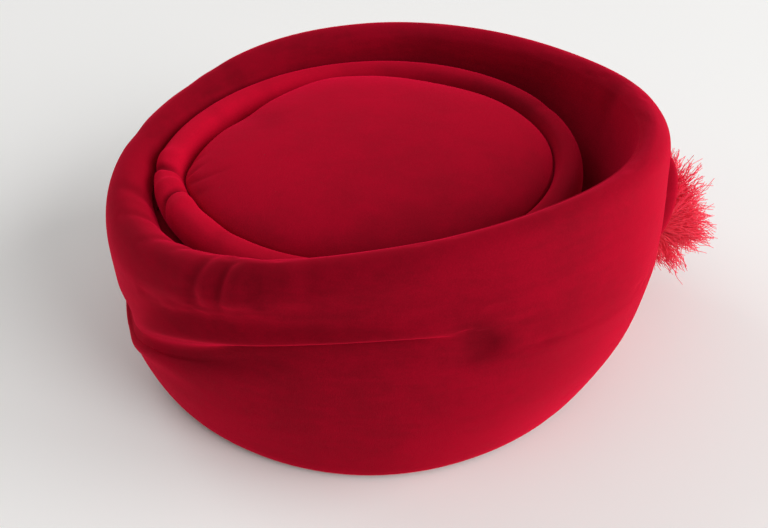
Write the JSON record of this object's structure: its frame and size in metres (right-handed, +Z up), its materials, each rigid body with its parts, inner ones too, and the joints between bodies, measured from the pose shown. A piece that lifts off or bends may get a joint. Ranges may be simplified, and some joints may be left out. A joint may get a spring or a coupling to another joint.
{
  "type": "pillbox hat",
  "caption": "Round velvet hat with a domed top in a padded ring, a tall leaning cuff folded over at the back, and a silk tuft at one side.",
  "frame": {"origin": "on the surface that the hat rests on, under the middle of its whole outline", "axes": "+Z up, -Y towards the back of the hat, +X towards the wearer's right, where the cuff is widest and the tuft hangs"},
  "size_m": [0.2964, 0.2642, 0.1224],
  "materials": {
    "velvet": "deep red velvet with a short pile that shines at the edges",
    "silk": "coral red silk threads"
  },
  "bodies": {
    "root": {"side_band": "velvet", "crown_ring": "velvet", "crown_tip": "velvet", "cuff": "velvet", "tuft_tab": "velvet", "silk_tuft": "silk"}
  },
  "joints": []
}
